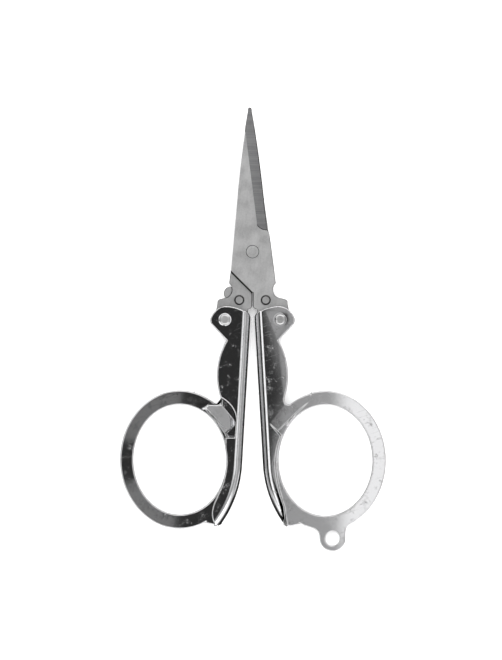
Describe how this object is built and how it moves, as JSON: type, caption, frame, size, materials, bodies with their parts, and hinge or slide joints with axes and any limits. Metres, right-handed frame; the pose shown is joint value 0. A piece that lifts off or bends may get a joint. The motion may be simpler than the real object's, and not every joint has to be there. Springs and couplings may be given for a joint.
{
  "type": "folding thread snips",
  "caption": "Folding thread snips: short pointed blades on a flush pivot, with sheet-metal channel handles that fold up over the blades and end in finger rings.",
  "frame": {"origin": "centre of the bounding box in plan, on the underside of the handles", "axes": "+Y towards the blade tips, +X to the right seen from the front, +Z out of the front face"},
  "size_m": [0.0598, 0.0998, 0.0048],
  "materials": {
    "blade_steel": "satin, fine ground",
    "handle_chrome": "bright plated, lightly scratched",
    "rivet_steel": "satin",
    "washer_steel": "plain"
  },
  "bodies": {
    "rear_blade": {"rear_blade": "blade_steel", "pivot_rivet": "rivet_steel", "left_tang_pin": "rivet_steel"},
    "front_blade": {"front_blade": "blade_steel", "right_tang_pin": "rivet_steel"},
    "right_handle": {"right_handle": "handle_chrome", "right_handle_rivet": "rivet_steel", "right_front_washer": "washer_steel", "right_rear_washer": "washer_steel"},
    "left_handle": {"left_handle": "handle_chrome", "left_handle_rivet": "rivet_steel", "left_front_washer": "washer_steel", "left_rear_washer": "washer_steel"}
  },
  "joints": [
    {"name": "blade_open", "type": "hinge", "parent": "rear_blade", "child": "front_blade", "pos_m": [0, 0.0174, 0.0024], "axis": [0, 0, 1], "range_deg": [0, 30]},
    {"name": "right_handle_fold", "type": "hinge", "parent": "front_blade", "child": "right_handle", "pos_m": [0.00619, 0.00215, 0.0024], "axis": [0, 0, 1], "range_deg": [0, 163.5]},
    {"name": "left_handle_fold", "type": "hinge", "parent": "rear_blade", "child": "left_handle", "pos_m": [-0.00619, 0.00215, 0.0024], "axis": [0, 0, -1], "range_deg": [0, 163.5]}
  ]
}
